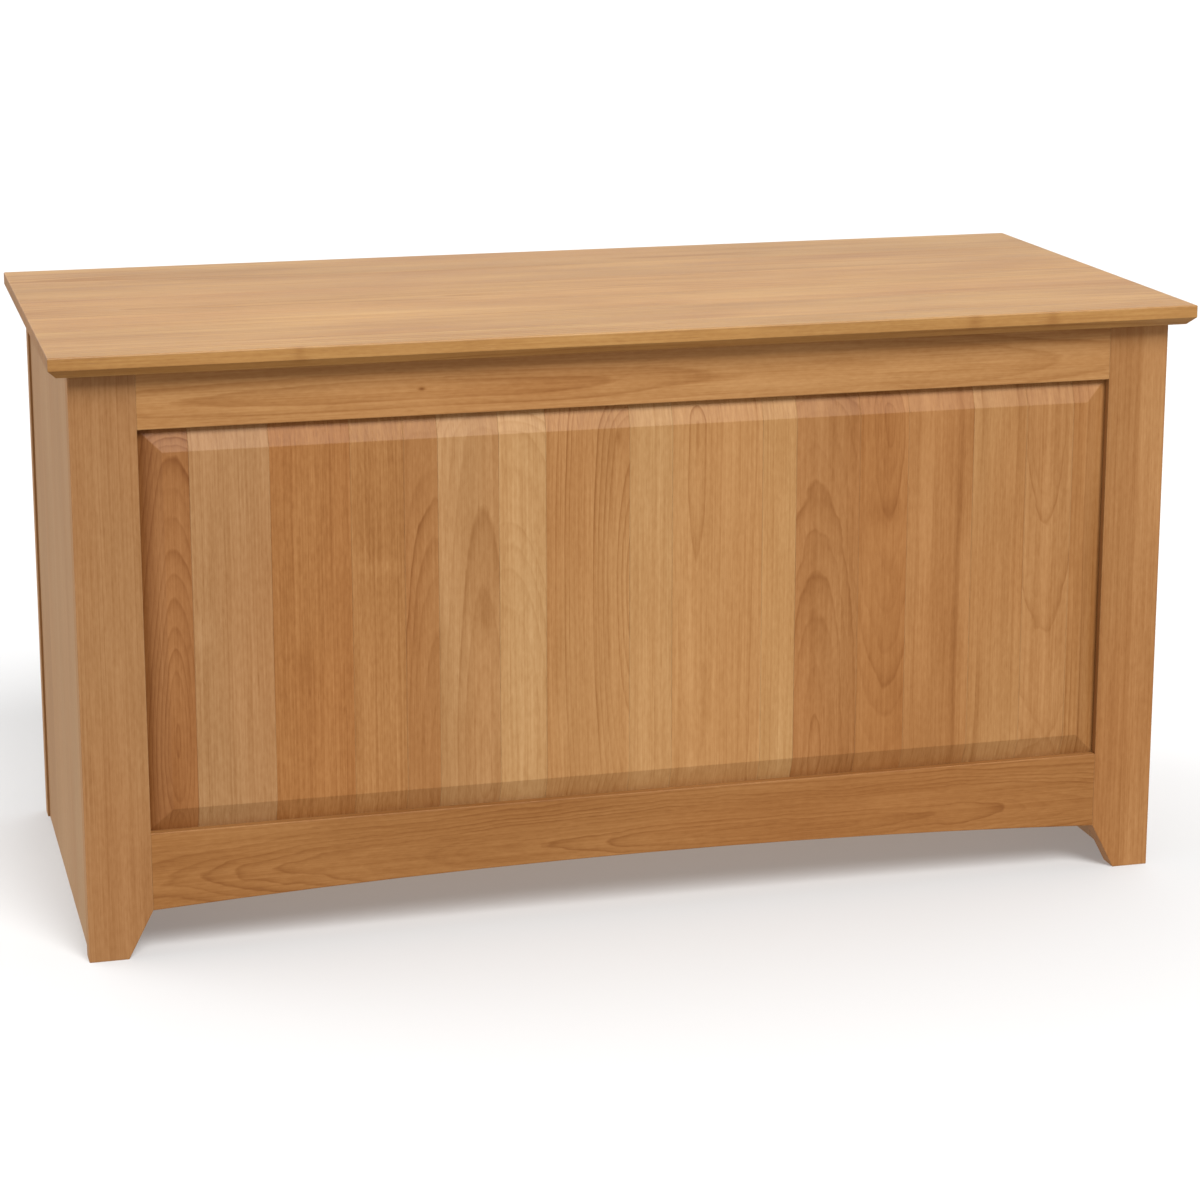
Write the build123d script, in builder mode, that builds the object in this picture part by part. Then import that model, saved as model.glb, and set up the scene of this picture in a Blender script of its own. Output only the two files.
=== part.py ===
from build123d import *
import os

# A wooden toy box: a frame-and-panel case with a raised front panel, plain side
# panels and a hinged lid of edge-glued boards.
# Millimetres. +X is the width, the front faces -Y, +Z is up, and the floor is z = 0.
# The origin is on the floor, below the middle of the lid.

# ---------------------------------------------------------------- driving sizes

OVERALL_HEIGHT = 532.0
LID_WIDTH = 1016.0
LID_DEPTH = 463.0
LID_THICKNESS = 18.0
LID_CHAMFER = 7.0
LID_EDGE_ROUND = 1.2
LID_GAP = 2.0
LID_FRONT_OVERHANG = 22.0

CASE_WIDTH = 982.0
CASE_DEPTH = 419.0

FRAME_THICKNESS = 20.0
STILE_WIDTH = 56.0
FOOT_WIDTH = 34.0
FOOT_TAPER_HEIGHT = 42.5
TOP_RAIL_HEIGHT = 48.0
BOTTOM_RAIL_TOP = 112.0
ARCH_RISE = 12.5
CORNER_ROUND = 1.2
EDGE_ROUND = 0.8

GROOVE_FRONT = 7.8
GROOVE_WIDTH = 6.4
GROOVE_DEPTH = 9.0
TENON_FRONT = 7.0
TENON_THICKNESS = 8.0
TENON_LENGTH = 25.0
TENON_SHOULDER = 9.5
MORTISE_LENGTH = 25.5

PANEL_THICKNESS = 14.0
TONGUE_FRONT = 8.0
TONGUE_TOP = 8.0
TONGUE_SIDE = 7.0
BEVEL_WIDTH = 20.0
STAVE_WIDTHS = [
    42.0, 67.5, 69.0, 46.0, 29.5, 53.5, 41.5, 75.0, 38.5,
    82.5, 31.0, 59.0, 45.5, 61.5, 50.5, 44.5, 33.0,
]

SIDE_THICKNESS = 18.0
SIDE_INSET = 2.0
SIDE_TONGUE = 6.0
SIDE_TONGUE_LENGTH = 8.0
SIDE_GROOVE_DEPTH = 8.5
SIDE_TONGUE_STOP = 10.0
SIDE_BOARD_WIDTHS = [89.5, 98.0, 92.0, 99.5]

BACK_PANEL_THICKNESS = 6.0
VENT_RADIUS = 18.0
VENT_SPACING = 400.0
VENT_HEIGHT = 400.0

FLOOR_THICKNESS = 9.0
FLOOR_CLEARANCE = 1.0
CLEAT_SIZE = 20.0
CLEAT_BOTTOM = 58.0

LID_BOARD_WIDTHS = [41.0, 79.0, 71.0, 98.0, 82.0, 92.0]
BATTEN_WIDTH = 40.0
BATTEN_THICKNESS = 18.0
BATTEN_OFFSET = 400.0
BATTEN_FRONT = -175.0
BATTEN_BACK = 165.0
BATTEN_END_CHAMFER = 8.0
BUMPER_RADIUS = 6.0

HINGE_OFFSET = 300.0
HINGE_HALF_LENGTH = 40.0
HINGE_AXIS_BEHIND_CASE = 6.0
HINGE_AXIS_BELOW_LID = 6.0
BARREL_RADIUS = 5.5
BARREL_BORE_RADIUS = 4.0
BARREL_HALF_LENGTH = 25.0
KNUCKLE_GAP = 0.5
LEAF_THICKNESS = 2.0
LEAF_CORNER = 4.0
CASE_LEAF_HEIGHT = 31.5
CASE_LEAF_TOP_GAP = 6.5
LID_LEAF_FRONT = 150.0
LID_LEAF_NOTCH = 6.5
PIN_RADIUS = 2.5
PIN_OVERHANG = 1.0
PIN_CHAMFER = 0.4
PIN_RUNNING_GAP = 0.05
PIN_PRESS_GAP = 0.02
CLIP_COUNT = 6
CLIP_LENGTH = 6.0
CLIP_PITCH = 8.0
CLIP_SLOT = 1.6

SCREW_RADIUS = 1.75
SCREW_HEAD_RADIUS = 3.5
SCREW_TIP_LENGTH = 3.0
SCREW_TIP_RADIUS = 0.3
SCREW_HOLE_GAP = 0.06
CROSS_LENGTH = 3.6
CROSS_WIDTH = 0.8
CROSS_DEPTH = 1.2
HINGE_SCREW_SPREAD = 28.0
CASE_LEAF_SCREW_HEIGHTS = [478.0, 493.0]
CASE_LEAF_SCREW_LENGTH = 16.0
LID_LEAF_SCREW_ROWS = [162.0, 184.0]
LID_LEAF_SCREW_LENGTH = 14.0
BATTEN_SCREW_ROWS = [-151.0, -76.0, 8.5, 98.5, 152.0]
BATTEN_SCREW_LENGTH = 29.0
CLEAT_SCREW_COLUMNS = [-380.0, -130.0, 130.0, 380.0]
CLEAT_SCREW_LENGTH = 32.0
FLOOR_SCREW_COLUMNS = [-250.0, 0.0, 250.0]
FLOOR_SCREW_SIDE_ROWS = [-95.0, 97.0]
FLOOR_SCREW_LENGTH = 20.0

# ---------------------------------------------------------------- worked out from them

LEFT = -1
RIGHT = 1
INTO_FRONT = 1
INTO_BACK = -1

lid_underside = OVERALL_HEIGHT - LID_THICKNESS
case_height = lid_underside - LID_GAP
case_front = -LID_DEPTH / 2 + LID_FRONT_OVERHANG
case_back = case_front + CASE_DEPTH
frame_inside_front = case_front + FRAME_THICKNESS
frame_inside_back = case_back - FRAME_THICKNESS

opening_half_width = CASE_WIDTH / 2 - STILE_WIDTH
opening_top = case_height - TOP_RAIL_HEIGHT
panel_low = BOTTOM_RAIL_TOP - GROOVE_DEPTH
panel_high = opening_top + TONGUE_TOP
panel_half_width = opening_half_width + TONGUE_SIDE

top_tenon_z = (opening_top + TENON_SHOULDER, case_height - TENON_SHOULDER)
bottom_tenon_z = (FOOT_TAPER_HEIGHT + TENON_SHOULDER, BOTTOM_RAIL_TOP - TENON_SHOULDER)

side_outer = CASE_WIDTH / 2 - SIDE_INSET
side_inner = side_outer - SIDE_THICKNESS
side_middle = (side_outer + side_inner) / 2

cleat_top = CLEAT_BOTTOM + CLEAT_SIZE
floor_top = cleat_top + FLOOR_THICKNESS

hinge_y = case_back + HINGE_AXIS_BEHIND_CASE
hinge_z = lid_underside - HINGE_AXIS_BELOW_LID
knuckle_start = BARREL_HALF_LENGTH + KNUCKLE_GAP
case_leaf_top = hinge_z - CASE_LEAF_TOP_GAP
case_leaf_low = case_leaf_top - CASE_LEAF_HEIGHT

os.makedirs("parts", exist_ok=True)


def save(piece, name):
    """Label one finished piece and write it as its own STEP file."""
    piece.part.label = name
    export_step(piece.part, f"parts/{name}.step")


def depth_span(face_y, inward, start, thickness):
    """The two Y limits of a slot that starts `start` behind a frame's outer face."""
    return face_y + inward * start, face_y + inward * (start + thickness)


def board_edges(start, widths):
    """Places of the glue joints, and both outer edges, of boards laid side by side."""
    return [start + sum(widths[:count]) for count in range(len(widths) + 1)]


def block(x, y, z, mode=Mode.ADD):
    """A box between two limits on each axis, in the part being built."""
    middle = (sum(x) / 2, sum(y) / 2, sum(z) / 2)
    with Locations(middle):
        Box(abs(x[1] - x[0]), abs(y[1] - y[0]), abs(z[1] - z[0]), mode=mode)


# ---------------------------------------------------------------- screws
# The origin of a screw and of its hole is the middle of the head's flat top, and
# the shank points along -Z. A plane places it, with its normal out of the head.


def screw(length, gap=0.0, cross=True):
    """One countersunk cross-head screw, or with a gap and no cross, its hole."""
    head = SCREW_HEAD_RADIUS + gap
    shank = SCREW_RADIUS + gap
    cone = SCREW_HEAD_RADIUS - SCREW_RADIUS
    with BuildPart() as body:
        with BuildSketch(Plane.XZ):
            with BuildLine():
                Polyline(
                    (0, 0),
                    (head, 0),
                    (shank, -cone),
                    (shank, SCREW_TIP_LENGTH - length),
                    (SCREW_TIP_RADIUS + gap, -length - gap),
                    (0, -length - gap),
                    close=True,
                )
            make_face()
        revolve(axis=Axis.Z)
        if cross:
            top = (Align.CENTER, Align.CENTER, Align.MAX)
            Box(CROSS_LENGTH, CROSS_WIDTH, CROSS_DEPTH, align=top, mode=Mode.SUBTRACT)
            Box(CROSS_WIDTH, CROSS_LENGTH, CROSS_DEPTH, align=top, mode=Mode.SUBTRACT)
    return body.part


def screw_group(name, places, length):
    """Write screws that lie at several places as one node of separate solids."""
    one_screw = screw(length)
    with BuildPart() as screws:
        with Locations(*places):
            add(one_screw)
    save(screws, name)


def screw_holes(places, length):
    """Cut the holes of those screws from the part being built."""
    with Locations(*places):
        add(screw(length, SCREW_HOLE_GAP, cross=False), mode=Mode.SUBTRACT)


def facing(normal, points):
    """Planes at the points, each with the given normal."""
    return [Plane(origin=point, z_dir=normal) for point in points]


def lid_leaf_screws(hinge_x):
    rows = [(x, y) for x in (-HINGE_SCREW_SPREAD, HINGE_SCREW_SPREAD) for y in LID_LEAF_SCREW_ROWS]
    leaf_face = lid_underside - LEAF_THICKNESS
    return facing((0, 0, -1), [(hinge_x + x, y, leaf_face) for x, y in rows])


def case_leaf_screws(hinge_x):
    rows = [(x, z) for x in (-HINGE_SCREW_SPREAD, HINGE_SCREW_SPREAD) for z in CASE_LEAF_SCREW_HEIGHTS]
    leaf_face = case_back + LEAF_THICKNESS
    return facing((0, 1, 0), [(hinge_x + x, leaf_face, z) for x, z in rows])


def batten_screws(batten_x):
    batten_face = lid_underside - BATTEN_THICKNESS
    return facing((0, 0, -1), [(batten_x, y, batten_face) for y in BATTEN_SCREW_ROWS])


hinge_xs = (-HINGE_OFFSET, HINGE_OFFSET)
batten_xs = (-BATTEN_OFFSET, BATTEN_OFFSET)

lid_leaf_places = [place for x in hinge_xs for place in lid_leaf_screws(x)]
case_leaf_places = [place for x in hinge_xs for place in case_leaf_screws(x)]
batten_places = [place for x in batten_xs for place in batten_screws(x)]

cleat_z = CLEAT_BOTTOM + CLEAT_SIZE / 2
front_cleat_y = frame_inside_front + CLEAT_SIZE
back_cleat_y = frame_inside_back - CLEAT_SIZE
side_cleat_x = side_inner - CLEAT_SIZE
side_board_edges = board_edges(frame_inside_front, SIDE_BOARD_WIDTHS)
side_board_middles = [(low + high) / 2 for low, high in zip(side_board_edges, side_board_edges[1:])]

front_cleat_places = facing((0, 1, 0), [(x, front_cleat_y, cleat_z) for x in CLEAT_SCREW_COLUMNS])
back_cleat_places = facing((0, -1, 0), [(x, back_cleat_y, cleat_z) for x in CLEAT_SCREW_COLUMNS])
left_cleat_places = facing((1, 0, 0), [(-side_cleat_x, y, cleat_z) for y in side_board_middles])
right_cleat_places = facing((-1, 0, 0), [(side_cleat_x, y, cleat_z) for y in side_board_middles])

floor_points = [(x, y) for x in FLOOR_SCREW_COLUMNS
                for y in (front_cleat_y - CLEAT_SIZE / 2, back_cleat_y + CLEAT_SIZE / 2)]
floor_points += [(x, y) for x in (-side_cleat_x - CLEAT_SIZE / 2, side_cleat_x + CLEAT_SIZE / 2)
                 for y in FLOOR_SCREW_SIDE_ROWS]
floor_places = facing((0, 0, 1), [(x, y, floor_top) for x, y in floor_points])

# ---------------------------------------------------------------- front and back frames


def frame_stile(name, side, face_y, inward):
    """A corner stile that runs down into a foot, tapered on its inner edge."""
    outer_x = side * CASE_WIDTH / 2
    inner_x = side * opening_half_width
    back_y = face_y + inward * FRAME_THICKNESS
    with BuildPart() as stile:
        with BuildSketch(Plane.XZ.offset(-max(face_y, back_y))):
            with BuildLine():
                Polyline(
                    (outer_x, 0),
                    (outer_x, case_height),
                    (inner_x, case_height),
                    (inner_x, FOOT_TAPER_HEIGHT),
                    (outer_x - side * FOOT_WIDTH, 0),
                    close=True,
                )
            make_face()
        extrude(amount=FRAME_THICKNESS)
        corner = (outer_x, face_y, case_height / 2)
        fillet(stile.edges().filter_by(Axis.Z).sort_by_distance(corner)[0], CORNER_ROUND)
        # groove for the panel's tongue
        groove_y = depth_span(face_y, inward, GROOVE_FRONT, GROOVE_WIDTH)
        groove_x = (inner_x, inner_x + side * GROOVE_DEPTH)
        block(groove_x, groove_y, (bottom_tenon_z[1], top_tenon_z[0]), Mode.SUBTRACT)
        # blind mortises for the two rails
        tenon_y = depth_span(face_y, inward, TENON_FRONT, TENON_THICKNESS)
        for tenon_z in (bottom_tenon_z, top_tenon_z):
            block((inner_x, inner_x + side * MORTISE_LENGTH), tenon_y, tenon_z, Mode.SUBTRACT)
        # stopped groove in the rear face for the side panel's tongue
        tongue_x = (side * (side_middle - SIDE_TONGUE / 2), side * (side_middle + SIDE_TONGUE / 2))
        tongue_y = (back_y, back_y - inward * SIDE_GROOVE_DEPTH)
        block(tongue_x, tongue_y, (SIDE_TONGUE_STOP, case_height - SIDE_TONGUE_STOP), Mode.SUBTRACT)
    save(stile, name)


def frame_rail(name, face_y, inward, low, high, tenon_z, arch_rise=0.0, hole_places=(), hole_length=0):
    """A rail with a tenon at each end and a groove along the edge that meets the panel."""
    back_y = face_y + inward * FRAME_THICKNESS
    is_top = low == opening_top
    opening_z = low if is_top else high
    with BuildPart() as rail:
        with BuildSketch(Plane.XZ.offset(-max(face_y, back_y))):
            with BuildLine():
                if arch_rise:
                    crown = (0, low + arch_rise)
                    ThreePointArc((-opening_half_width, low), crown, (opening_half_width, low))
                else:
                    Line((-opening_half_width, low), (opening_half_width, low))
                Polyline(
                    (opening_half_width, low),
                    (opening_half_width, high),
                    (-opening_half_width, high),
                    (-opening_half_width, low),
                )
            make_face()
        extrude(amount=FRAME_THICKNESS)
        sight_edge = rail.edges().filter_by(Axis.X).sort_by_distance((0, face_y, opening_z))[0]
        fillet(sight_edge, EDGE_ROUND)
        tenon_y = depth_span(face_y, inward, TENON_FRONT, TENON_THICKNESS)
        tenon_tip = opening_half_width + TENON_LENGTH
        for side in (LEFT, RIGHT):
            block((side * opening_half_width, side * tenon_tip), tenon_y, tenon_z)
        groove_y = depth_span(face_y, inward, GROOVE_FRONT, GROOVE_WIDTH)
        groove_z = (opening_z, opening_z + (GROOVE_DEPTH if is_top else -GROOVE_DEPTH))
        block((-opening_half_width, opening_half_width), groove_y, groove_z, Mode.SUBTRACT)
        if hole_places:
            screw_holes(hole_places, hole_length)
    save(rail, name)


frame_stile("front_left_stile", LEFT, case_front, INTO_FRONT)
frame_stile("front_right_stile", RIGHT, case_front, INTO_FRONT)
frame_stile("back_left_stile", LEFT, case_back, INTO_BACK)
frame_stile("back_right_stile", RIGHT, case_back, INTO_BACK)

frame_rail("front_top_rail", case_front, INTO_FRONT, opening_top, case_height, top_tenon_z)
frame_rail("front_bottom_rail", case_front, INTO_FRONT, FOOT_TAPER_HEIGHT, BOTTOM_RAIL_TOP,
           bottom_tenon_z, ARCH_RISE, front_cleat_places, CLEAT_SCREW_LENGTH)
frame_rail("back_top_rail", case_back, INTO_BACK, opening_top, case_height, top_tenon_z,
           0.0, case_leaf_places, CASE_LEAF_SCREW_LENGTH)
frame_rail("back_bottom_rail", case_back, INTO_BACK, FOOT_TAPER_HEIGHT, BOTTOM_RAIL_TOP,
           bottom_tenon_z, 0.0, back_cleat_places, CLEAT_SCREW_LENGTH)

# ---------------------------------------------------------------- raised front panel
# The field is flush with the frame. Round it a flat bevel slopes back to the tongue
# that sits in the frame's grooves.


def raised_profile(low, high, tongue_low, tongue_high):
    """Section of the panel across its width or height, as (place, depth) points."""
    return [
        (tongue_low, PANEL_THICKNESS),
        (tongue_low, TONGUE_FRONT),
        (low, TONGUE_FRONT),
        (low + BEVEL_WIDTH, 0),
        (high - BEVEL_WIDTH, 0),
        (high, TONGUE_FRONT),
        (tongue_high, TONGUE_FRONT),
        (tongue_high, PANEL_THICKNESS),
    ]


across = raised_profile(-opening_half_width, opening_half_width, -panel_half_width, panel_half_width)
upright = raised_profile(BOTTOM_RAIL_TOP, opening_top, panel_low, panel_high)

with BuildPart() as raised_panel:
    with BuildSketch(Plane.XY.offset(panel_low)):
        with BuildLine():
            Polyline(*[(place, case_front + depth) for place, depth in across], close=True)
        make_face()
    extrude(amount=panel_high - panel_low)
    with BuildSketch(Plane.YZ.offset(-panel_half_width)):
        with BuildLine():
            Polyline(*[(case_front + depth, place) for place, depth in upright], close=True)
        make_face()
    extrude(amount=2 * panel_half_width, mode=Mode.INTERSECT)

panel_y = (case_front, case_front + PANEL_THICKNESS)
stave_edges = board_edges(-opening_half_width, STAVE_WIDTHS)
stave_edges[0] = -panel_half_width
stave_edges[-1] = panel_half_width

for number, stave_x in enumerate(zip(stave_edges, stave_edges[1:]), start=1):
    with BuildPart() as stave:
        add(raised_panel.part)
        block(stave_x, panel_y, (panel_low, panel_high), Mode.INTERSECT)
    save(stave, f"front_stave_{number:02d}")

# ---------------------------------------------------------------- side and back panels


def side_panel(name, side, cleat_places):
    """Vertical boards glued edge to edge, with a tongue into each frame."""
    panel_x = (side * side_inner, side * side_outer)
    tongue_x = (side * (side_middle - SIDE_TONGUE / 2), side * (side_middle + SIDE_TONGUE / 2))
    tongue_y = (frame_inside_front - SIDE_TONGUE_LENGTH, frame_inside_back + SIDE_TONGUE_LENGTH)
    with BuildPart() as blank:
        block(panel_x, (frame_inside_front, frame_inside_back), (0, case_height))
        block(tongue_x, tongue_y, (SIDE_TONGUE_STOP, case_height - SIDE_TONGUE_STOP))
        screw_holes(cleat_places, CLEAT_SCREW_LENGTH)
    cuts = [tongue_y[0]] + side_board_edges[1:-1] + [tongue_y[1]]
    boards = []
    for board_y in zip(cuts, cuts[1:]):
        with BuildPart() as board:
            add(blank.part)
            block(panel_x, board_y, (0, case_height), Mode.INTERSECT)
        boards.append(board.part.solid())
    panel = Compound(children=boards)
    panel.label = name
    export_step(panel, f"parts/{name}.step")


side_panel("left_side_panel", LEFT, left_cleat_places)
side_panel("right_side_panel", RIGHT, right_cleat_places)

back_panel_y = depth_span(case_back, INTO_BACK, TONGUE_FRONT, BACK_PANEL_THICKNESS)

with BuildPart() as back_panel:
    with BuildSketch(Plane.XZ.offset(-back_panel_y[0])):
        with BuildLine():
            Polyline(
                (-panel_half_width, panel_low),
                (panel_half_width, panel_low),
                (panel_half_width, panel_high),
                (-panel_half_width, panel_high),
                close=True,
            )
        make_face()
        with Locations((-VENT_SPACING / 2, VENT_HEIGHT), (VENT_SPACING / 2, VENT_HEIGHT)):
            Circle(VENT_RADIUS, mode=Mode.SUBTRACT)
    extrude(amount=BACK_PANEL_THICKNESS)
save(back_panel, "back_panel")

# ---------------------------------------------------------------- floor and its cleats


def cleat(name, x, y, wall_places):
    """A square strip under the edge of the floor, screwed to the wall behind it."""
    with BuildPart() as strip:
        block(x, y, (CLEAT_BOTTOM, cleat_top))
        screw_holes(wall_places, CLEAT_SCREW_LENGTH)
        screw_holes(floor_places, FLOOR_SCREW_LENGTH)
    save(strip, name)


cleat("front_cleat", (-side_inner, side_inner), (frame_inside_front, front_cleat_y), front_cleat_places)
cleat("back_cleat", (-side_inner, side_inner), (back_cleat_y, frame_inside_back), back_cleat_places)
cleat("left_cleat", (-side_inner, -side_cleat_x), (front_cleat_y, back_cleat_y), left_cleat_places)
cleat("right_cleat", (side_cleat_x, side_inner), (front_cleat_y, back_cleat_y), right_cleat_places)

with BuildPart() as floor_panel:
    floor_x = side_inner - FLOOR_CLEARANCE
    floor_y = (frame_inside_front + FLOOR_CLEARANCE, frame_inside_back - FLOOR_CLEARANCE)
    block((-floor_x, floor_x), floor_y, (cleat_top, floor_top))
    screw_holes(floor_places, FLOOR_SCREW_LENGTH)
save(floor_panel, "floor_panel")

screw_group("cleat_screws", front_cleat_places + back_cleat_places + left_cleat_places + right_cleat_places,
            CLEAT_SCREW_LENGTH)
screw_group("floor_screws", floor_places, FLOOR_SCREW_LENGTH)

# ---------------------------------------------------------------- lid

lid_back = LID_DEPTH / 2

with BuildPart() as lid_blank:
    block((-LID_WIDTH / 2, LID_WIDTH / 2), (-lid_back, lid_back), (lid_underside, OVERALL_HEIGHT))
    chamfer(lid_blank.faces().sort_by(Axis.Z)[0].edges(), LID_CHAMFER)
    fillet(lid_blank.faces().sort_by(Axis.Z)[-1].edges(), LID_EDGE_ROUND)
    screw_holes(lid_leaf_places, LID_LEAF_SCREW_LENGTH)
    screw_holes(batten_places, BATTEN_SCREW_LENGTH)

lid_edges = board_edges(-lid_back, LID_BOARD_WIDTHS)
for number, board_y in enumerate(zip(lid_edges, lid_edges[1:]), start=1):
    with BuildPart() as lid_board:
        add(lid_blank.part)
        block((-LID_WIDTH / 2, LID_WIDTH / 2), board_y, (lid_underside, OVERALL_HEIGHT), Mode.INTERSECT)
    save(lid_board, f"lid_board_{number}")

for name, batten_x in zip(("lid_left_batten", "lid_right_batten"), batten_xs):
    with BuildPart() as batten:
        batten_sides = (batten_x - BATTEN_WIDTH / 2, batten_x + BATTEN_WIDTH / 2)
        block(batten_sides, (BATTEN_FRONT, BATTEN_BACK), (lid_underside - BATTEN_THICKNESS, lid_underside))
        chamfer(batten.faces().sort_by(Axis.Z)[0].edges().filter_by(Axis.X), BATTEN_END_CHAMFER)
        screw_holes(batten_screws(batten_x), BATTEN_SCREW_LENGTH)
    save(batten, name)

screw_group("lid_batten_screws", batten_places, BATTEN_SCREW_LENGTH)

with BuildPart() as bumpers:
    bumper_x = CASE_WIDTH / 2 - STILE_WIDTH / 2
    bumper_y = case_front + FRAME_THICKNESS / 2
    with Locations((-bumper_x, bumper_y, case_height), (bumper_x, bumper_y, case_height)):
        Cylinder(BUMPER_RADIUS, LID_GAP, align=(Align.CENTER, Align.CENTER, Align.MIN))
save(bumpers, "lid_bumpers")

# ---------------------------------------------------------------- torsion hinges
# Friction clips in the case leaf's barrel grip the pin, so the lid stays where it
# is left. The pin is fixed in the two knuckles of the lid leaf.


def along_x(radius, x, mode=Mode.ADD):
    """A cylinder on the hinge axis, between two places on X."""
    with Locations(Plane(origin=(sum(x) / 2, hinge_y, hinge_z), z_dir=(1, 0, 0))):
        Cylinder(radius, x[1] - x[0], mode=mode)


def case_leaf(name, x):
    """The leaf on the back of the case, with the barrel that holds the clips."""
    with BuildPart() as leaf:
        leaf_y = (case_back, case_back + LEAF_THICKNESS)
        block((x - HINGE_HALF_LENGTH, x + HINGE_HALF_LENGTH), leaf_y, (case_leaf_low, case_leaf_top))
        low_corners = leaf.edges().filter_by(Axis.Y).group_by(Axis.Z)[0]
        fillet(low_corners, LEAF_CORNER)
        block((x - BARREL_HALF_LENGTH, x + BARREL_HALF_LENGTH), leaf_y, (case_leaf_top, hinge_z))
        along_x(BARREL_RADIUS, (x - BARREL_HALF_LENGTH, x + BARREL_HALF_LENGTH))
        along_x(BARREL_BORE_RADIUS, (x - BARREL_HALF_LENGTH, x + BARREL_HALF_LENGTH), Mode.SUBTRACT)
        screw_holes(case_leaf_screws(x), CASE_LEAF_SCREW_LENGTH)
    save(leaf, name)


def lid_leaf(name, x):
    """The leaf under the lid, with a knuckle at each end of the barrel."""
    with BuildPart() as leaf:
        leaf_z = (lid_underside - LEAF_THICKNESS, lid_underside)
        notch_y = hinge_y - LID_LEAF_NOTCH
        block((x - HINGE_HALF_LENGTH, x + HINGE_HALF_LENGTH), (LID_LEAF_FRONT, notch_y), leaf_z)
        front_corners = leaf.edges().filter_by(Axis.Z).group_by(Axis.Y)[0]
        fillet(front_corners, LEAF_CORNER)
        for start, end in ((-HINGE_HALF_LENGTH, -knuckle_start), (knuckle_start, HINGE_HALF_LENGTH)):
            block((x + start, x + end), (notch_y, hinge_y), leaf_z)
            along_x(BARREL_RADIUS, (x + start, x + end))
        along_x(PIN_RADIUS + PIN_PRESS_GAP, (x - HINGE_HALF_LENGTH, x + HINGE_HALF_LENGTH), Mode.SUBTRACT)
        screw_holes(lid_leaf_screws(x), LID_LEAF_SCREW_LENGTH)
    save(leaf, name)


def hinge_pin(name, x):
    """The pin, a little longer than the hinge, with its ends eased."""
    half_length = HINGE_HALF_LENGTH + PIN_OVERHANG
    with BuildPart() as pin:
        along_x(PIN_RADIUS, (x - half_length, x + half_length))
        chamfer(pin.edges().filter_by(GeomType.CIRCLE), PIN_CHAMFER)
    save(pin, name)


def friction_clips(name, x):
    """Open spring clips side by side in the barrel, each a separate solid."""
    first_x = x - CLIP_PITCH * (CLIP_COUNT - 1) / 2
    outer = BARREL_BORE_RADIUS - PIN_RUNNING_GAP
    inner = PIN_RADIUS + PIN_RUNNING_GAP
    with BuildPart() as clips:
        for number in range(CLIP_COUNT):
            clip_x = first_x + number * CLIP_PITCH
            with BuildSketch(Plane.YZ.offset(clip_x - CLIP_LENGTH / 2)):
                with Locations((hinge_y, hinge_z)):
                    Circle(outer)
                    Circle(inner, mode=Mode.SUBTRACT)
                    Rectangle(CLIP_SLOT, 2 * outer, align=(Align.CENTER, Align.MAX), mode=Mode.SUBTRACT)
            extrude(amount=CLIP_LENGTH)
    save(clips, name)


for side_name, hinge_x in zip(("left", "right"), hinge_xs):
    case_leaf(f"{side_name}_hinge_case_leaf", hinge_x)
    lid_leaf(f"{side_name}_hinge_lid_leaf", hinge_x)
    hinge_pin(f"{side_name}_hinge_pin", hinge_x)
    friction_clips(f"{side_name}_hinge_clips", hinge_x)

screw_group("hinge_case_screws", case_leaf_places, CASE_LEAF_SCREW_LENGTH)
screw_group("hinge_lid_screws", lid_leaf_places, LID_LEAF_SCREW_LENGTH)
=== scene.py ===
import math

import bpy
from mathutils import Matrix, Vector


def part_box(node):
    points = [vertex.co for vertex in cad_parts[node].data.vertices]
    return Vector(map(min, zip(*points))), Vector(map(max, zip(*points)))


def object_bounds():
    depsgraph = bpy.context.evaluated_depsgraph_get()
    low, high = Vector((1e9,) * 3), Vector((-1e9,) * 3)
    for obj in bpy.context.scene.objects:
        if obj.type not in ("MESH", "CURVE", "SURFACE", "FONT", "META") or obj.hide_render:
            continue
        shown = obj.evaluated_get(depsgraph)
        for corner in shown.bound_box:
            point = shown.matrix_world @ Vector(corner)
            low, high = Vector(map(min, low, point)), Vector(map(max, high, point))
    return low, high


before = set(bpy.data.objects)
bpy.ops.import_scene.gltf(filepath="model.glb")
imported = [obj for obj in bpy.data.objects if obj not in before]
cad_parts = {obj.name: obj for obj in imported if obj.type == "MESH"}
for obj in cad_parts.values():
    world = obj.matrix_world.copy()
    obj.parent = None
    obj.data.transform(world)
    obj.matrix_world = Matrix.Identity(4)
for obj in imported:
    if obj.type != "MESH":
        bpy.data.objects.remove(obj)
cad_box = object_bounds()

# The looks of a wooden toy box. Every piece is a CAD node and keeps its shape: this
# script gives each one its own procedural material, and adds floor, lights and camera.
# Metres, in the model's own frame: +X is the width, the front faces -Y, +Z is up.

MM = 0.001
low_corner, high_corner = cad_box
centre = (low_corner + high_corner) / 2
case_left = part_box("front_left_stile")[0].x
case_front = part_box("front_left_stile")[0].y
case_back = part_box("back_left_stile")[1].y


# ---------------------------------------------------------------- node helpers


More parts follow.
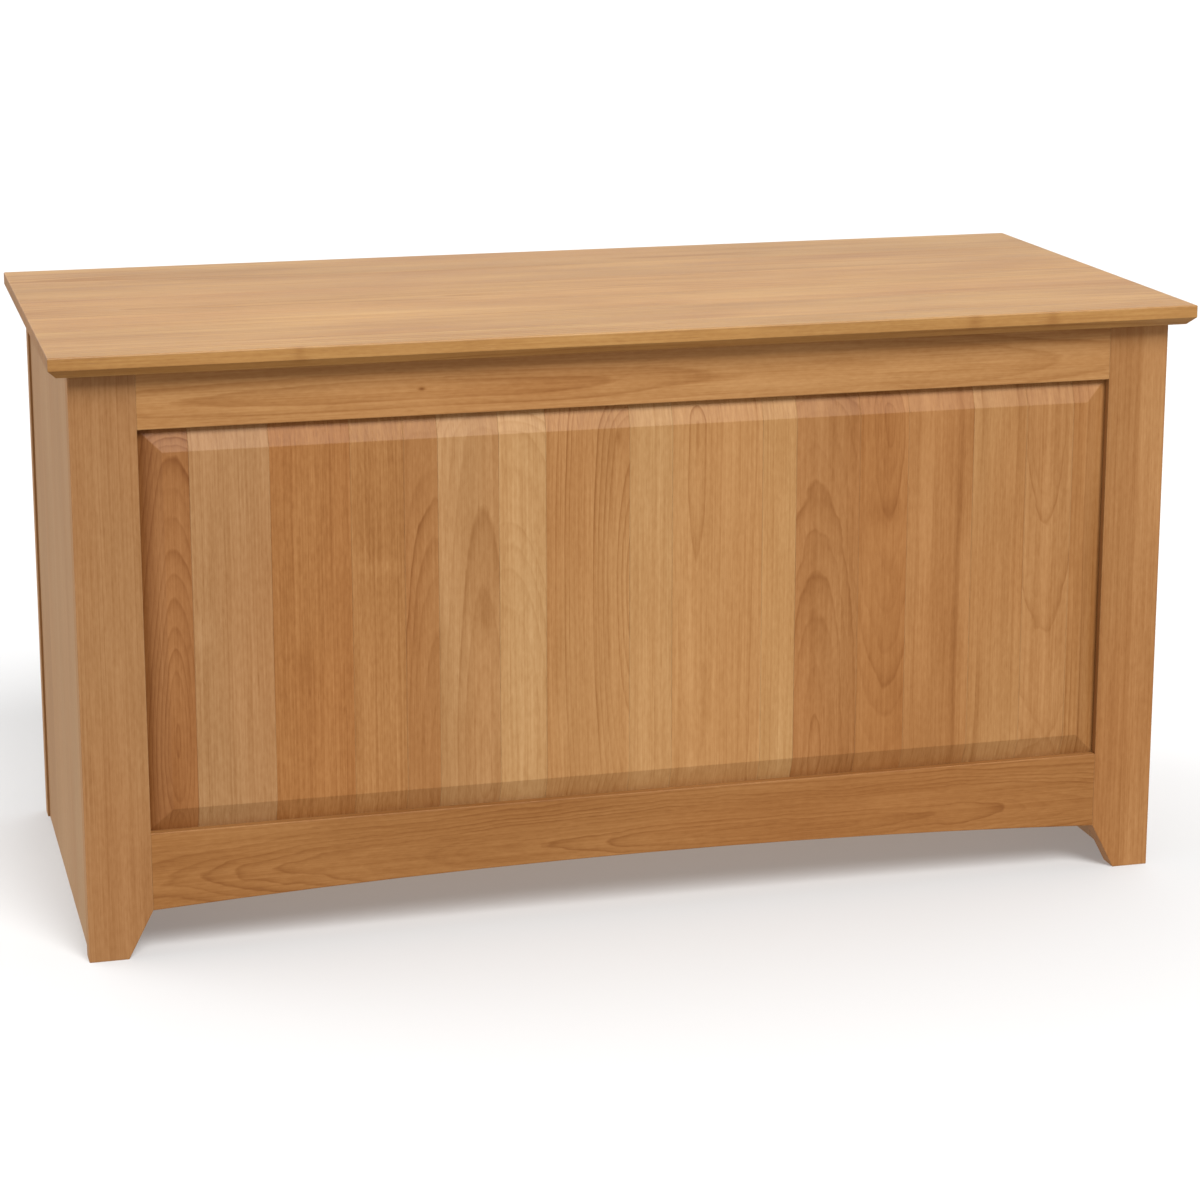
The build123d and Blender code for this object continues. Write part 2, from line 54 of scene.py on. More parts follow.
class Tree:
    """A short way to write shader nodes: every call adds nodes and returns an output.
    A value can be a number, a colour or another node's output."""

    def __init__(self, name):
        self.material = bpy.data.materials.new(name)
        self.material.use_nodes = True
        self.tree = self.material.node_tree
        self.tree.nodes.clear()
        self.surface = self.tree.nodes.new("ShaderNodeBsdfPrincipled")
        output = self.tree.nodes.new("ShaderNodeOutputMaterial")
        self.tree.links.new(self.surface.outputs[0], output.inputs[0])

    def put(self, socket, value):
        """Link an output to a socket, or set the socket to a number or colour."""
        if isinstance(value, bpy.types.NodeSocket):
            self.tree.links.new(value, socket)
        else:
            socket.default_value = value

    def math(self, operation, *values):
        node = self.tree.nodes.new("ShaderNodeMath")
        node.operation = operation
        for socket, value in zip(node.inputs, values):
            self.put(socket, value)
        return node.outputs[0]

    def add(self, a, b):
        return self.math("ADD", a, b)

    def sub(self, a, b):
        return self.math("SUBTRACT", a, b)

    def mul(self, a, b):
        return self.math("MULTIPLY", a, b)

    def smooth(self, value, low, high, out_low=0.0, out_high=1.0):
        """A smooth step from out_low, where value is low, to out_high, where it is high."""
        node = self.tree.nodes.new("ShaderNodeMapRange")
        node.interpolation_type = "SMOOTHSTEP"
        for name, number in zip(("Value", "From Min", "From Max", "To Min", "To Max"),
                                (value, low, high, out_low, out_high)):
            self.put(node.inputs[name], number)
        return node.outputs[0]

    def coordinates(self):
        """The X, Y and Z of the point in the model's frame, where every CAD node lies."""
        place = self.tree.nodes.new("ShaderNodeTexCoord")
        split = self.tree.nodes.new("ShaderNodeSeparateXYZ")
        self.tree.links.new(place.outputs["Object"], split.inputs[0])
        return split.outputs

    def vector(self, x, y, z):
        node = self.tree.nodes.new("ShaderNodeCombineXYZ")
        for socket, value in zip(node.inputs, (x, y, z)):
            self.put(socket, value)
        return node.outputs[0]

    def scaled(self, place, scales):
        """The point's X, Y and Z, each multiplied by its own scale."""
        return self.vector(*[self.mul(value, scale) for value, scale in zip(place, scales)])

    def noise(self, vector, detail=2.0, roughness=0.5):
        """Noise about zero, from -0.5 to 0.5."""
        node = self.tree.nodes.new("ShaderNodeTexNoise")
        node.normalize = True
        self.put(node.inputs["Vector"], vector)
        self.put(node.inputs["Scale"], 1.0)
        self.put(node.inputs["Detail"], detail)
        self.put(node.inputs["Roughness"], roughness)
        return self.sub(node.outputs[0], 0.5)

    def dice(self, value):
        """The same random number, from 0 to 1, for the same value."""
        node = self.tree.nodes.new("ShaderNodeTexWhiteNoise")
        node.noise_dimensions = "1D"
        self.put(node.inputs["W"], value)
        return node.outputs["Value"]

    def mix(self, factor, a, b):
        """From colour a at factor 0 to colour b at factor 1."""
        node = self.tree.nodes.new("ShaderNodeMix")
        node.data_type = "RGBA"
        for socket, value in zip((node.inputs[0], node.inputs[6], node.inputs[7]), (factor, a, b)):
            self.put(socket, value)
        return node.outputs[2]

    def tinted(self, colour, gain):
        """A colour made lighter or darker by a number."""
        node = self.tree.nodes.new("ShaderNodeVectorMath")
        node.operation = "SCALE"
        self.put(node.inputs[0], colour)
        self.put(node.inputs["Scale"], gain)
        return node.outputs[0]

    def times(self, a, b):
        """Two colours or vectors multiplied channel by channel."""
        node = self.tree.nodes.new("ShaderNodeVectorMath")
        node.operation = "MULTIPLY"
        for socket, value in zip(node.inputs, (a, b)):
            self.put(socket, value)
        return node.outputs[0]

    def normal_along(self, axis):
        """How squarely the surface faces along one axis, from 0 to 1."""
        place = self.tree.nodes.new("ShaderNodeTexCoord")
        split = self.tree.nodes.new("ShaderNodeSeparateXYZ")
        self.tree.links.new(place.outputs["Normal"], split.inputs[0])
        return self.math("ABSOLUTE", split.outputs[axis])

    def eased_edges(self, radius):
        """The normal as if sharp edges were rounded, and how near an edge is."""
        bevel = self.tree.nodes.new("ShaderNodeBevel")
        bevel.samples = 3
        self.put(bevel.inputs["Radius"], radius)
        geometry = self.tree.nodes.new("ShaderNodeNewGeometry")
        dot = self.tree.nodes.new("ShaderNodeVectorMath")
        dot.operation = "DOT_PRODUCT"
        self.put(dot.inputs[0], bevel.outputs[0])
        self.put(dot.inputs[1], geometry.outputs["Normal"])
        return bevel.outputs[0], self.sub(1.0, dot.outputs["Value"])

    def bump(self, height, distance, strength=1.0, normal=None):
        """Raise the surface by height, on top of a normal if one is given."""
        node = self.tree.nodes.new("ShaderNodeBump")
        self.put(node.inputs["Strength"], strength)
        self.put(node.inputs["Distance"], distance)
        self.put(node.inputs["Height"], height)
        if normal:
            self.put(node.inputs["Normal"], normal)
        self.tree.links.new(node.outputs[0], self.surface.inputs["Normal"])

    def finish(self, **sockets):
        """Set sockets of the surface by name, with _ for a space."""
        for name, value in sockets.items():
            self.put(self.surface.inputs[name.replace("_", " ")], value)
        return self.material


def rgba(colour):
    """A colour as sockets take it, with its alpha."""
    return (*colour, 1.0)


def paint(node_name, material):
    """Give a CAD node one material."""
    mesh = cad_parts[node_name].data
    mesh.materials.clear()
    mesh.materials.append(material)


# ---------------------------------------------------------------- wood
# The grain is cut from growth rings: cones about a pith line that leans a little from
# the grain's direction, so a board shows arches, ovals or straight lines according to
# where its pith lies. Noise bends the rings, and each ring has its own strength.
# Darker wood is also redder, so one number, the gain, sets both.

# For each way that a board can lie, which of X, Y and Z (0, 1 and 2) runs across its
# grain, along it, and into the board.
UPRIGHT = (0, 2, 1)
LEVEL = (2, 0, 1)
FLAT = (1, 0, 2)
SIDEWAYS = (1, 2, 0)
CROSSWISE = (0, 1, 2)

SEED_STEP = 3.7             # how far apart the noise of two boards lies
GLUED_BOARD_STEP = 11.3     # the same, for two boards in one node
GLUED_BOARD_SPREAD = 0.05   # how much lighter or darker than the rest such a board can be
EARLY_WOOD = 0.16           # how much the rings' pale part lightens the wood, at lines 1
LATE_WOOD = 0.62            # how much their dark part darkens it
GREEN_POWER = 1.45          # how much faster than red the other two channels follow the gain
BLUE_POWER = 2.1
ROSY_TINT = (1.0, 0.9, 0.82)
END_GRAIN_GAIN = 0.66
EDGE_RADIUS = 1.2 * MM
# how much paler edges are: rubbed wear, and a painted highlight on edges and in crevice corners
EDGE_WEAR_AND_HIGHLIGHT_GAIN = 1.2
GRAIN_HEIGHT = 0.12 * MM


def board_by_board(t, across, seed, joints):
    """Where in the noise a point's board lies, and how light the board is."""
    shift = float(seed) * SEED_STEP
    if not joints:
        return shift, 1.0
    board = 0.0
    for joint in joints:
        board = t.add(board, t.math("GREATER_THAN", across, joint))
    shift = t.add(t.mul(board, GLUED_BOARD_STEP), shift)
    gain = t.smooth(t.dice(shift), 0.0, 1.0, 1.0 - GLUED_BOARD_SPREAD, 1.0 + GLUED_BOARD_SPREAD)
    return shift, gain


def growth_rings(t, field, axes, shift, face=case_front, pith=(0.0, 0.0), slope=0.0, lean=0.0,
                 spacing=5.0, wobble=3.0, curl=0.0):
    """How dark the rings make a point. axes are its places across the grain, along it and
    in depth, and face is how deep the board's visible face lies. pith is where the rings
    are centred, across and along, in metres; slope and lean are how fast the pith line
    sinks and drifts along the board. In millimetres, spacing is from ring to ring, and
    wobble and curl are how far long and short waves bend them."""
    across, along, depth = axes
    from_pith = t.sub(along, pith[1])
    sideways = t.sub(t.sub(across, pith[0]), t.mul(from_pith, lean))
    sunk = t.add(t.mul(from_pith, slope), t.sub(depth, face))
    radius = t.math("SQRT", t.add(t.mul(sideways, sideways), t.mul(sunk, sunk)))
    bend = t.mul(field(wide=14.0, long=4.0), wobble * MM * 2.0)
    shorter = field(wide=45.0, long=9.0, detail=3.0, rough=0.55, offset=5.0)
    bend = t.add(bend, t.mul(shorter, wobble * MM * 0.8))
    if curl:
        bend = t.add(bend, t.mul(field(wide=38.0, long=32.0, offset=9.0), curl * MM))
    bent = t.add(radius, bend)

    # count the rings, some wider than others; each has its own strength
    uneven = t.noise(t.vector(t.mul(bent, 60.0), shift, 0.5), detail=1.0)
    rings = t.add(t.add(t.math("DIVIDE", bent, spacing * MM), t.mul(uneven, 2.2)), shift)
    within = t.math("FRACT", rings)
    strength = t.smooth(t.dice(t.math("FLOOR", rings)), 0.0, 1.0, 0.2, 1.0)

    # a ring darkens slowly, then steeply, and ends in a short soft edge
    late = t.mul(t.mul(t.math("POWER", within, 4.0), t.smooth(within, 0.86, 1.0, 1.0, 0.0)), 2.0)
    faded = t.smooth(field(wide=16.0, long=3.5, offset=3.0), -0.16, 0.16, 0.4, 1.0)
    return t.mul(t.mul(t.add(late, t.mul(within, 0.45)), strength), faded)


def wood(name, seed, tone, lies=UPRIGHT, lines=0.25, fibre=1.0, blotch=1.0, patches=(), joints=(), step=None,
         roughness=0.47, specular=0.22, slant=1.0, **figure):
    """An oiled board. seed makes it unlike the others, and figure is what growth_rings
    takes. lines, fibre and blotch are how strongly the rings, the fibres and the cloudy
    patches show. Each of patches is a lighter or darker spot: its middle across and along
    the grain, half its width, half its length, and its gain. joints are where, across the
    grain, boards meet that are glued up in one node. step is where the colour changes,
    and the gain beyond it. slant is how fast the marks change with depth: at 1, as fast
    as they do across the grain."""
    t = Tree("wood_" + name)
    place = t.coordinates()
    across, along, depth = [place[index] for index in lies]
    shift, gain = board_by_board(t, across, seed, joints)

    def field(wide, long, detail=2.0, rough=0.5, offset=0.0):
        """Noise with wide features to the metre across the grain, and long along it."""
        moved = t.add(t.mul(depth, wide * slant), t.add(shift, offset))
        return t.noise(t.vector(t.mul(across, wide), t.mul(along, long), moved), detail, rough)

    grain = growth_rings(t, field, (across, along, depth), shift, **figure)
    gain = t.mul(gain, t.sub(1.0 + EARLY_WOOD * lines, t.mul(grain, LATE_WOOD * lines)))

    # fibres, flecks, pores and cloudy patches
    fine = field(wide=800.0, long=10.0, rough=0.6, offset=21.0)
    coarse = field(wide=230.0, long=3.0, offset=31.0)
    flecks = field(wide=420.0, long=130.0, detail=1.0, offset=71.0)
    pores = t.smooth(field(wide=1500.0, long=60.0, detail=1.0, offset=41.0), 0.1, 0.3)
    cloud = t.add(t.mul(field(wide=15.0, long=4.0, detail=3.0, rough=0.55, offset=51.0), 0.4),
                  t.mul(field(wide=80.0, long=5.0, offset=81.0), 0.2))
    marks = t.add(t.mul(fine, 0.34), t.add(t.mul(coarse, 0.24), t.mul(flecks, 0.2)))
    marks = t.sub(marks, t.mul(pores, 0.09))
    gain = t.mul(gain, t.add(t.mul(marks, fibre), t.add(t.mul(cloud, blotch), 1.0)))
    if step:
        # the board turns from heartwood to sapwood along one line of its grain
        where, gain_beyond = step
        edge = t.add(t.sub(across, where), t.mul(coarse, 1.5 * MM))
        gain = t.mul(gain, t.smooth(edge, -0.4 * MM, 0.4 * MM, 1.0, gain_beyond))
    for patch_across, patch_along, half_width, half_length, patch_gain in patches:
        off_across = t.math("DIVIDE", t.sub(across, patch_across), half_width)
        off_along = t.math("DIVIDE", t.sub(along, patch_along), half_length)
        off_squared = t.add(t.mul(off_across, off_across), t.mul(off_along, off_along))
        near = t.math("EXPONENT", t.mul(off_squared, -1.0))
        gain = t.mul(gain, t.add(t.mul(near, patch_gain - 1.0), 1.0))

    # end grain drinks more oil; edges are rubbed a little paler, and edges and the corners of crevices also
    # get a painted highlight
    facing = t.normal_along(lies[1])
    gain = t.mul(gain, t.smooth(facing, 0.6, 0.9, 1.0, END_GRAIN_GAIN))
    rounded, edge = t.eased_edges(EDGE_RADIUS)
    gain = t.mul(gain, t.smooth(edge, 0.02, 0.25, 1.0, EDGE_WEAR_AND_HIGHLIGHT_GAIN))

    rosy = [channel * tint for channel, tint in zip(tone, ROSY_TINT)]
    rosiness = t.smooth(field(wide=9.0, long=2.5, offset=61.0), -0.2, 0.2, 0.0, 0.6)
    colour = t.mix(rosiness, rgba(tone), rgba(rosy))
    channels = t.vector(gain, t.math("POWER", gain, GREEN_POWER), t.math("POWER", gain, BLUE_POWER))
    colour = t.times(colour, channels)

    height = t.sub(t.mul(fine, 0.6), t.add(t.mul(pores, 0.8), t.mul(grain, 0.15)))
    t.bump(height, GRAIN_HEIGHT, 0.6, rounded)
    rough = t.add(t.mul(marks, 0.25), t.add(t.mul(grain, 0.04), roughness))
    return t.finish(Base_Color=colour, Roughness=rough, Specular_IOR_Level=specular)


# ---------------------------------------------------------------- front panel staves

DARK_STAVE = (0.245, 0.101, 0.031)
PALE_STAVE = (0.380, 0.214, 0.086)


def cherry(pale, red=0.0):
    """A stave's tone, from the darkest at pale 0 to the palest at pale 1. red takes out
    that share of the blue, and a third as much of the green."""
    tone = [dark * (light / dark) ** pale for dark, light in zip(DARK_STAVE, PALE_STAVE)]
    return (tone[0], tone[1] * (1.0 - red / 3.0), tone[2] * (1.0 - red))


# Each stave's tone, and its figure. The places of its pith and patches are in millimetres,
# from the case's left edge and above the floor.
STAVES = [
    # stave 1's long dark patch, 57 mm in, is painted shade: it darkens and reddens the recessed left bevel
    # beside the stile
    dict(tone=cherry(0.0), pith=(82, 195), slope=0.14, spacing=3.4, lines=0.42, wobble=3.5, curl=1.5,
         blotch=1.3, patches=[(57, 280, 10, 400, 0.75)]),
    dict(tone=cherry(0.5, -0.25), pith=(66, 260), spacing=3.3, lines=0.17, wobble=1.2, fibre=1.1, blotch=0.6,
         patches=[(107, 287, 7, 17, 1.16)]),
    dict(tone=cherry(0.3, 0.15), pith=(330, 250), spacing=4.2, lines=0.14, wobble=1.6, fibre=1.5, blotch=0.8,
         patches=[(192, 250, 7, 25, 0.86)]),
    dict(tone=cherry(0.45, 0.1), pith=(215, 140), slope=0.05, spacing=3.6, lines=0.19, wobble=2.0, fibre=1.4,
         patches=[(262, 334, 14, 7, 1.13), (243, 338, 6, 16, 1.1)]),
    dict(tone=cherry(0.35, 0.05), pith=(318, 60), slope=0.12, lean=-0.03, spacing=5.5, lines=0.46,
         wobble=8.0),
    dict(tone=cherry(0.7, -0.1), pith=(350, 120), slope=0.10, spacing=7.0, lines=0.27, wobble=2.5,
         patches=[(350, 287, 4, 20, 0.84)]),
    dict(tone=cherry(1.0, -0.05), pith=(371, 181), slope=0.25, spacing=6.5, lines=0.14, wobble=2.5,
         blotch=0.6),
    dict(tone=cherry(0.7, 0.05), pith=(484, 300), slope=0.13, spacing=4.4, lines=0.38, wobble=2.4,
         patches=[(470, 436, 4, 7, 0.8)]),
    dict(tone=cherry(0.95), pith=(545, 300), spacing=9.0, lines=0.11, wobble=2.0, blotch=0.5),
    dict(tone=cherry(0.8, 0.05), pith=(541, 440), slope=0.08, spacing=8.0, lines=0.38, wobble=4.5,
         blotch=0.7),
    dict(tone=cherry(0.95, 0.05), pith=(540, 300), spacing=7.0, lines=0.15, wobble=1.8, blotch=0.7),
    dict(tone=cherry(0.35, 0.05), pith=(653, 130), slope=0.15, spacing=6.0, lines=0.36, wobble=6.0, curl=6.0,
         blotch=1.2),
    dict(tone=cherry(0.25, 0.15), pith=(719, 440), slope=0.16, spacing=5.6, lines=0.32, wobble=6.0, curl=3.0,
         blotch=1.4, patches=[(716, 355, 16, 14, 0.86)]),
    dict(tone=cherry(0.5, 0.05), pith=(640, 300), spacing=13.0, lines=0.26, wobble=5.0, blotch=1.3),
    dict(tone=cherry(0.6, 0.05), pith=(930, 330), spacing=12.0, lines=0.26, wobble=5.0,
         patches=[(807, 330, 3, 130, 1.12)]),
    dict(tone=cherry(0.65), pith=(868, 470), slope=0.14, spacing=5.6, lines=0.32, wobble=7.0, curl=7.0),
    dict(tone=cherry(0.45, 0.1), pith=(948, 300), spacing=5.0, lines=0.31, wobble=4.0, blotch=1.2),
]
STAVE_SLANT = 0.2


def along_front(millimetres):
    """X of a point given by how far it is from the case's left edge, in millimetres."""
    return case_left + millimetres * MM


def in_metres(figure):
    """A stave's figure with its places moved from millimetres on the front to metres."""
    moved = dict(figure)
    moved["pith"] = (along_front(figure["pith"][0]), figure["pith"][1] * MM)
    moved["patches"] = [(along_front(x), z * MM, width * MM, length * MM, gain)
                        for x, z, width, length, gain in figure.get("patches", ())]
    return moved


for number, figure in enumerate(STAVES, start=1):
    node_name = f"front_stave_{number:02d}"
    paint(node_name, wood(node_name, seed=number, slant=STAVE_SLANT, **in_metres(figure)))

# ---------------------------------------------------------------- frames
# In this section and the next ones the piths are in metres, across and along the grain.

FRAME_TONE = (0.280, 0.139, 0.053)
RIGHT_STILE_TONE = (0.293, 0.135, 0.045)
SAPWOOD_STEP = 31 * MM      # from the right stile's inner edge to where its pale part starts
SAPWOOD_GAIN = 1.13
STILES = ("front_left_stile", "front_right_stile", "back_left_stile", "back_right_stile")

for number, node_name in enumerate(STILES):
    low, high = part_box(node_name)
    if "left" in node_name:
        tone = FRAME_TONE
        pith = (high.x + 0.07, 0.1)
    else:
        tone = RIGHT_STILE_TONE
        pith = (low.x - 0.06, 0.1)
    step = (low.x + SAPWOOD_STEP, SAPWOOD_GAIN) if node_name == "front_right_stile" else None
    paint(node_name, wood(node_name, 31 + number, tone, pith=pith, spacing=4.5, lines=0.14, wobble=2.5,
                          blotch=0.7, step=step))

RAILS = {
    "front_top_rail": dict(
        tone=(0.346, 0.172, 0.060), pith=(0.486, -0.20), slope=0.055, spacing=6.5, lines=0.26, wobble=5.0,
        patches=[(0.487, -0.194, 1.6 * MM, 3.0 * MM, 0.45)]),
    "front_bottom_rail": dict(
        tone=(0.253, 0.110, 0.032), pith=(0.066, 0.12), slope=0.07, spacing=3.4, lines=0.34, wobble=8.0,
        curl=3.0),
    "back_top_rail": dict(
        tone=FRAME_TONE, face=case_back, pith=(0.49, 0.25), slope=0.06, spacing=6.0, lines=0.25, wobble=5.0),
    "back_bottom_rail": dict(
        tone=FRAME_TONE, face=case_back, pith=(0.06, -0.3), slope=0.05, spacing=5.5, lines=0.25, wobble=5.0),
}

for number, (node_name, figure) in enumerate(RAILS.items()):
    paint(node_name, wood(node_name, 41 + number, lies=LEVEL, **figure))

# ---------------------------------------------------------------- side panels

SIDE_TONE = (0.277, 0.153, 0.068)
SIDE_JOINTS = (109.5, 207.5, 299.5)     # millimetres behind the case's front

side_joints = [case_front + distance * MM for distance in SIDE_JOINTS]
for number, node_name in enumerate(("left_side_panel", "right_side_panel")):
    paint(node_name, wood(node_name, 51 + number, SIDE_TONE, lies=SIDEWAYS, pith=(-0.35, 0.2), spacing=5.0,
                          lines=0.10, wobble=3.0, blotch=0.7, joints=side_joints, specular=0.45))

# ---------------------------------------------------------------- lid

LID_TONE = (0.337, 0.171, 0.047)
LID_GAINS = (0.98, 1.0, 1.05, 1.01, 0.955, 0.94)    # how light each board is, from the front
EDGE_MARKS = (190, 787, 860)    # millimetres from the case's left edge, on the front edge

edge_marks = [(low_corner.y, along_front(x), 3.0 * MM, 6.0 * MM, 0.85) for x in EDGE_MARKS]
for number, gain in enumerate(LID_GAINS, start=1):
    node_name = f"lid_board_{number}"
    low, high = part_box(node_name)
    middle = (low.y + high.y) / 2
    tone = [channel * gain for channel in LID_TONE]
    pith = (middle + (0.09 if number % 2 else -0.02), -0.3 + 0.14 * number)
    paint(node_name, wood(node_name, 61 + number, tone, lies=FLAT, face=high_corner.z, pith=pith, slope=0.03,
                          spacing=7.0, lines=0.26, wobble=7.0, blotch=1.6, fibre=1.1, roughness=0.4,
                          specular=0.5, patches=edge_marks if number == 1 else ()))

# ---------------------------------------------------------------- plain inside pieces

CLEAT_TONE = (0.50, 0.31, 0.15)
BATTEN_TONE = (0.50, 0.30, 0.14)
BACK_PLY_TONE = (0.50, 0.30, 0.145)
FLOOR_PLY_TONE = (0.50, 0.31, 0.155)

for number, node_name in enumerate(("front_cleat", "back_cleat")):
    paint(node_name, wood(node_name, 71 + number, CLEAT_TONE, lies=LEVEL, pith=(0.02, 0.2), lines=0.19,
                          roughness=0.62))
for number, node_name in enumerate(("left_cleat", "right_cleat", "lid_left_batten", "lid_right_batten")):
    paint(node_name, wood(node_name, 73 + number, BATTEN_TONE, lies=CROSSWISE, pith=(0.5, 0.0), lines=0.19,
                          roughness=0.55))
paint("back_panel", wood("back_panel", 81, BACK_PLY_TONE, lies=LEVEL, pith=(0.29, -0.2), slope=0.22,
                         spacing=16.0, lines=0.21, wobble=26.0, blotch=0.6, fibre=0.7))
paint("floor_panel", wood("floor_panel", 82, FLOOR_PLY_TONE, lies=FLAT, pith=(0.02, 0.3), slope=0.2,
                          spacing=15.0, lines=0.19, wobble=24.0, blotch=0.6, fibre=0.7))

# ---------------------------------------------------------------- metal and rubber

# Noise scales, in features to the metre.
BRUSH_LINES = 2600.0        # across the brushing
BRUSH_LENGTH = 60.0         # and along it
TARNISH = 90.0
RUBBER_GRAIN = 1800.0
ALONG_X = 0
ALONG_Z = 2


def metal(name, colour, roughness, brushed_axis):
    """Plated steel with fine brush lines and a little uneven tarnish."""
    t = Tree("metal_" + name)
    place = t.coordinates()
    scales = [BRUSH_LINES] * 3
    scales[brushed_axis] = BRUSH_LENGTH
    lines = t.noise(t.scaled(place, scales))
    cloud = t.noise(t.scaled(place, [TARNISH] * 3), detail=3.0)
    gain = t.add(t.add(t.mul(lines, 0.2), t.mul(cloud, 0.3)), 1.0)
    t.bump(lines, 0.04 * MM, 0.5)
    rough = t.add(t.add(t.mul(lines, 0.12), t.mul(cloud, 0.2)), roughness)
    return t.finish(Base_Color=t.tinted(colour, gain), Roughness=rough, Metallic=1.0)


def rubber(name, colour, roughness):
    """Matt moulded rubber with a faint grained skin."""
    t = Tree("rubber_" + name)
    grain = t.noise(t.scaled(t.coordinates(), [RUBBER_GRAIN] * 3))
    t.bump(grain, 0.05 * MM)
    gain = t.add(t.mul(grain, 0.3), 1.0)
    return t.finish(Base_Color=t.tinted(colour, gain), Roughness=t.add(t.mul(grain, 0.2), roughness))


for side in ("left", "right"):
    for leaf in ("case_leaf", "lid_leaf"):
        paint(f"{side}_hinge_{leaf}", metal(f"{side}_{leaf}", (0.56, 0.54, 0.50), 0.34, ALONG_X))
    paint(f"{side}_hinge_pin", metal(f"{side}_pin", (0.62, 0.62, 0.62), 0.22, ALONG_X))
    paint(f"{side}_hinge_clips", metal(f"{side}_clips", (0.34, 0.34, 0.36), 0.42, ALONG_X))
for screws in ("cleat_screws", "floor_screws", "lid_batten_screws", "hinge_case_screws", "hinge_lid_screws"):
    paint(screws, metal(screws, (0.66, 0.61, 0.48), 0.3, ALONG_Z))
paint("lid_bumpers", rubber("lid_bumpers", (0.10, 0.075, 0.055), 0.75))

# ---------------------------------------------------------------- floor, light and camera

FLOOR_HALF_SIZE = 40.0
FLOOR_TONE = (0.50, 0.50, 0.50)
FLOOR_GLOW = 0.2
WHITE = (1.0, 1.0, 1.0)
WARM_BOUNCE = (1.0, 0.84, 0.66)

# The camera's place is in metres from the middle of the box, and its turns in radians.
SENSOR_WIDTH_MM = 36.0
LENS_MM = 93.80
LENS_SHIFT = -0.0833
CAMERA_REACH = 200.0
CAMERA_FROM_CENTRE = (-0.7121, -2.7601, 0.7325)
LOOK_DOWN = 0.2299
TURN_RIGHT = 0.2584


def add_floor():
    """One large pale floor that reaches past the top of the picture. The light it throws
    back up comes from the surround instead, so that its brightness can be chosen."""
    size = FLOOR_HALF_SIZE
    mesh = bpy.data.meshes.new("studio_floor")
    corners = [(-size, -size, 0), (size, -size, 0), (size, size, 0), (-size, size, 0)]
    mesh.from_pydata(corners, [], [(0, 1, 2, 3)])
    t = Tree("studio_floor")
    mesh.materials.append(t.finish(Base_Color=rgba(FLOOR_TONE), Roughness=0.9, Specular_IOR_Level=0.1,
                                   Emission_Color=rgba(WHITE), Emission_Strength=FLOOR_GLOW))
    floor = bpy.data.objects.new("studio_floor", mesh)
    floor.visible_diffuse = False
    floor.visible_glossy = False
    bpy.context.scene.collection.objects.link(floor)


def add_sun(name, turn, height, softness, strength, glossy=True):
    """A soft distant light. turn is how far it stands to the right of straight in
    front and height how far above level, in degrees; softness is its angular size.
    A fill light isn't glossy: it leaves no glare on the lid."""
    data = bpy.data.lights.new(name, "SUN")
    data.angle = math.radians(softness)
    data.energy = strength
    light = bpy.data.objects.new(name, data)
    light.visible_glossy = glossy
    across = math.radians(turn)
    up = math.radians(height)
    towards = Vector((math.sin(across) * math.cos(up), -math.cos(across) * math.cos(up), math.sin(up)))
    light.rotation_mode = "QUATERNION"
    light.rotation_quaternion = towards.to_track_quat("Z", "Y")
    bpy.context.scene.collection.objects.link(light)


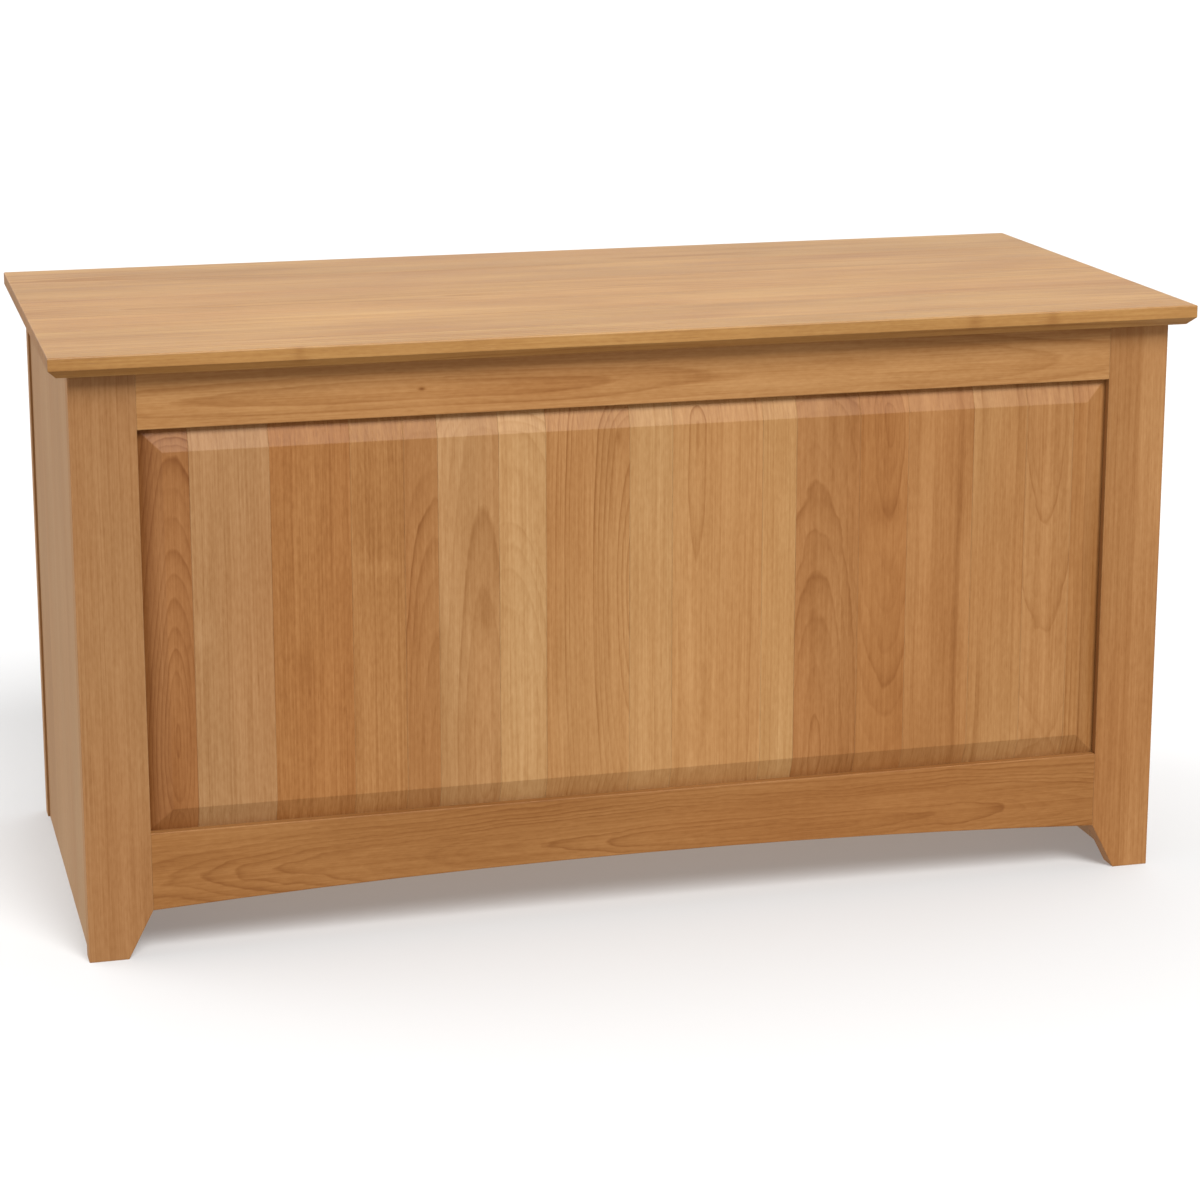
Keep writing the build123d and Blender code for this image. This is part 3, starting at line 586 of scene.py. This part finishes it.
def add_surround(backdrop, horizon, bounce, rest):
    """A pale studio. backdrop is how bright it is low down behind the box, horizon how
    much brighter along the horizon all round, bounce how bright the warm light from the
    floor below is, and rest how bright it all is besides."""
    world = bpy.data.worlds.new("studio")
    world.use_nodes = True
    nodes, links = world.node_tree.nodes, world.node_tree.links
    direction = nodes.new("ShaderNodeTexCoord")
    split = nodes.new("ShaderNodeSeparateXYZ")
    links.new(direction.outputs["Generated"], split.inputs[0])

    def share(axis, low, high, share_low, share_high):
        """A number that goes smoothly from share_low, where the direction's X, Y or Z is
        low, to share_high, where it is high."""
        node = nodes.new("ShaderNodeMapRange")
        node.interpolation_type = "SMOOTHSTEP"
        links.new(split.outputs[axis], node.inputs["Value"])
        for socket, value in zip(("From Min", "From Max", "To Min", "To Max"),
                                 (low, high, share_low, share_high)):
            node.inputs[socket].default_value = value
        return node.outputs[0]

    def combine(operation, a, b):
        node = nodes.new("ShaderNodeMath")
        node.operation = operation
        for socket, value in zip(node.inputs, (a, b)):
            if isinstance(value, float):
                socket.default_value = value
            else:
                links.new(value, socket)
        return node.outputs[0]

    below = share("Z", -0.08, 0.0, 1.0, 0.0)
    wall = combine("MULTIPLY", share("Z", 0.25, 0.7, 1.0, 0.0), share("Y", -0.3, 0.5, 0.25, 1.0))
    wall = combine("ADD", combine("MULTIPLY", wall, backdrop), share("Z", 0.03, 0.08, horizon, 0.0))
    wall = combine("MULTIPLY", wall, combine("SUBTRACT", 1.0, below))
    strength = combine("ADD", combine("ADD", wall, combine("MULTIPLY", below, bounce)), rest)
    links.new(strength, nodes["Background"].inputs["Strength"])
    tint = nodes.new("ShaderNodeMix")
    tint.data_type = "RGBA"
    links.new(below, tint.inputs[0])
    tint.inputs[6].default_value = rgba(WHITE)
    tint.inputs[7].default_value = rgba(WARM_BOUNCE)
    links.new(tint.outputs[2], nodes["Background"].inputs["Color"])
    bpy.context.scene.world = world


def add_camera():
    """A long lens above the box and to its left, turned towards it and looking down."""
    data = bpy.data.cameras.new("camera")
    data.sensor_width = SENSOR_WIDTH_MM
    data.lens = LENS_MM
    data.shift_y = LENS_SHIFT
    data.clip_end = CAMERA_REACH
    camera = bpy.data.objects.new("camera", data)
    camera.location = centre + Vector(CAMERA_FROM_CENTRE)
    camera.rotation_euler = (math.pi / 2 - LOOK_DOWN, 0.0, -TURN_RIGHT)
    bpy.context.scene.collection.objects.link(camera)
    bpy.context.scene.camera = camera


add_floor()
add_surround(backdrop=0.75, horizon=0.8, bounce=0.44, rest=0.12)
add_sun("key", turn=12.0, height=46.0, softness=29.0, strength=3.7)
add_sun("front_fill", turn=-55.0, height=8.0, softness=80.0, strength=1.0, glossy=False)
add_sun("side_fill", turn=-115.0, height=15.0, softness=60.0, strength=2.45, glossy=False)
add_sun("right_fill", turn=105.0, height=15.0, softness=60.0, strength=0.8, glossy=False)
add_sun("overhead", turn=180.0, height=68.0, softness=60.0, strength=1.4, glossy=False)
add_camera()
bpy.context.scene.view_settings.view_transform = "Standard"
